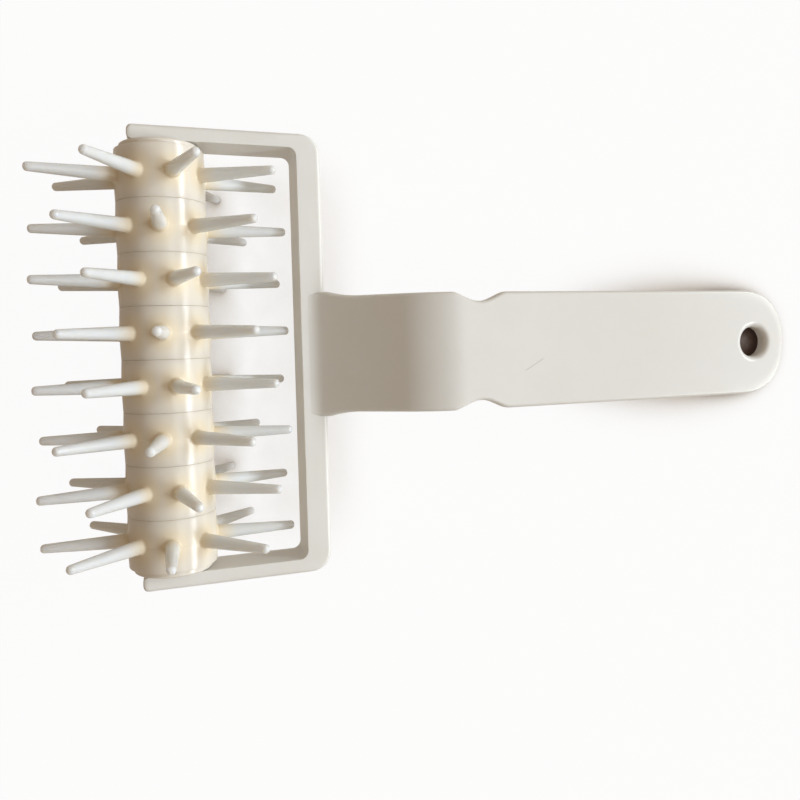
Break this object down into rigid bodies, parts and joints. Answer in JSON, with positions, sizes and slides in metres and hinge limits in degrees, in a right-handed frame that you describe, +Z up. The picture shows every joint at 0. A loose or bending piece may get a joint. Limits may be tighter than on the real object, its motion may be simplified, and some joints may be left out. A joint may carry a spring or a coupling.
{
  "type": "dough docker",
  "caption": "Hand roller with rings of blunt spikes that spin in a moulded U-shaped yoke with a raised flat handle and a hanging hole, for pricking dough.",
  "frame": {"origin": "on the table, under the middle of the tool's bounding box", "axes": "+X from the roller to the end of the handle, +Y along the roller, +Z up from the table"},
  "size_m": [0.2242, 0.1264, 0.0671],
  "materials": {
    "moulding": "smooth moulded plastic",
    "ring": "smooth moulded plastic",
    "collar": "smooth moulded plastic",
    "core": "smooth moulded plastic"
  },
  "bodies": {
    "frame": {"yoke_handle": "moulding"},
    "roller": {"core_shaft": "core", "end_collar_1": "collar", "end_collar_2": "collar", "spike_ring_1": "ring", "spike_ring_2": "ring", "spike_ring_3": "ring", "spike_ring_4": "ring", "spike_ring_5": "ring", "spike_ring_6": "ring", "spike_ring_7": "ring", "spike_ring_8": "ring"}
  },
  "joints": [
    {"name": "roller_spin", "type": "hinge", "parent": "frame", "child": "roller", "pos_m": [-0.0785, 0, 0.03357], "axis": [0, 1, 0], "continuous": true}
  ]
}
